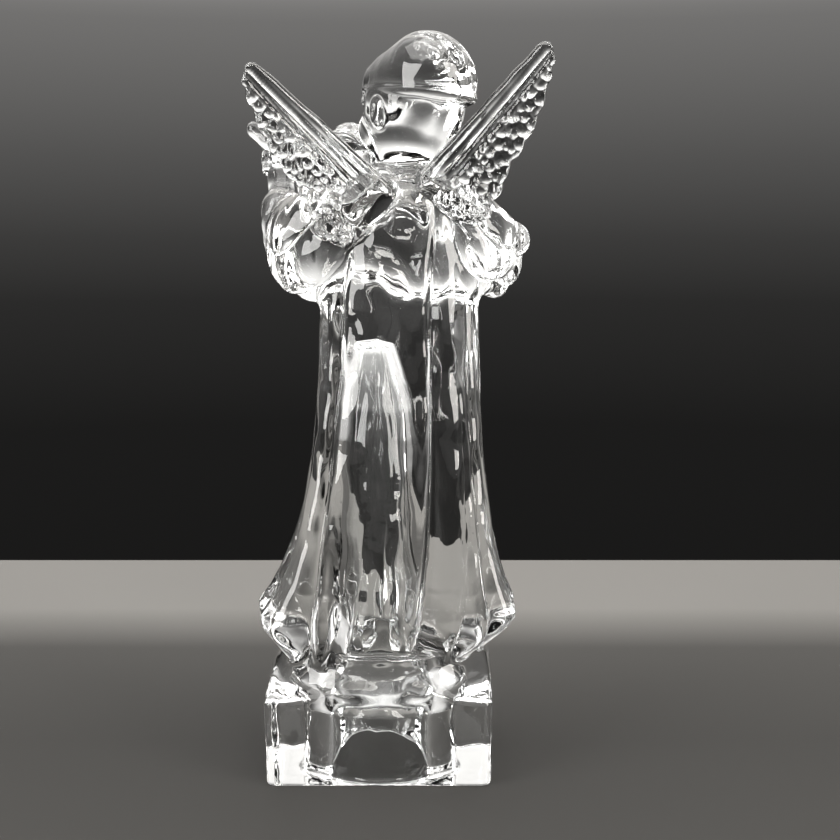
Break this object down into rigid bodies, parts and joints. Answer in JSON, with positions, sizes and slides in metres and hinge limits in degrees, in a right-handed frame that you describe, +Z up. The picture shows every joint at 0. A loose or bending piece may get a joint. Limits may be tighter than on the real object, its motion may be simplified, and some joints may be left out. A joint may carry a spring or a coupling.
{
  "type": "crystal glass figurine",
  "caption": "Clear crystal figurine of a winged child musician in a long pleated robe, playing a violin, on a block pedestal with a hollow core.",
  "frame": {"origin": "on the ground, under the middle of the whole figurine's bounding box", "axes": "+Z up; the figure faces -Y, so its left hand and the violin's scroll are on +X"},
  "size_m": [0.0954, 0.0752, 0.2345],
  "materials": {
    "crystal": "colourless pressed lead crystal, fire polished"
  },
  "bodies": {
    "root": {"pedestal": "crystal", "robe_skirt": "crystal", "bodice": "crystal", "collar": "crystal", "head": "crystal", "hair_cap": "crystal", "violin_body": "crystal", "violin_neck": "crystal", "bow": "crystal", "left_sleeve": "crystal", "right_sleeve": "crystal", "left_hand": "crystal", "right_hand": "crystal", "left_wing": "crystal", "right_wing": "crystal", "left_foot": "crystal", "right_foot": "crystal"}
  },
  "joints": []
}
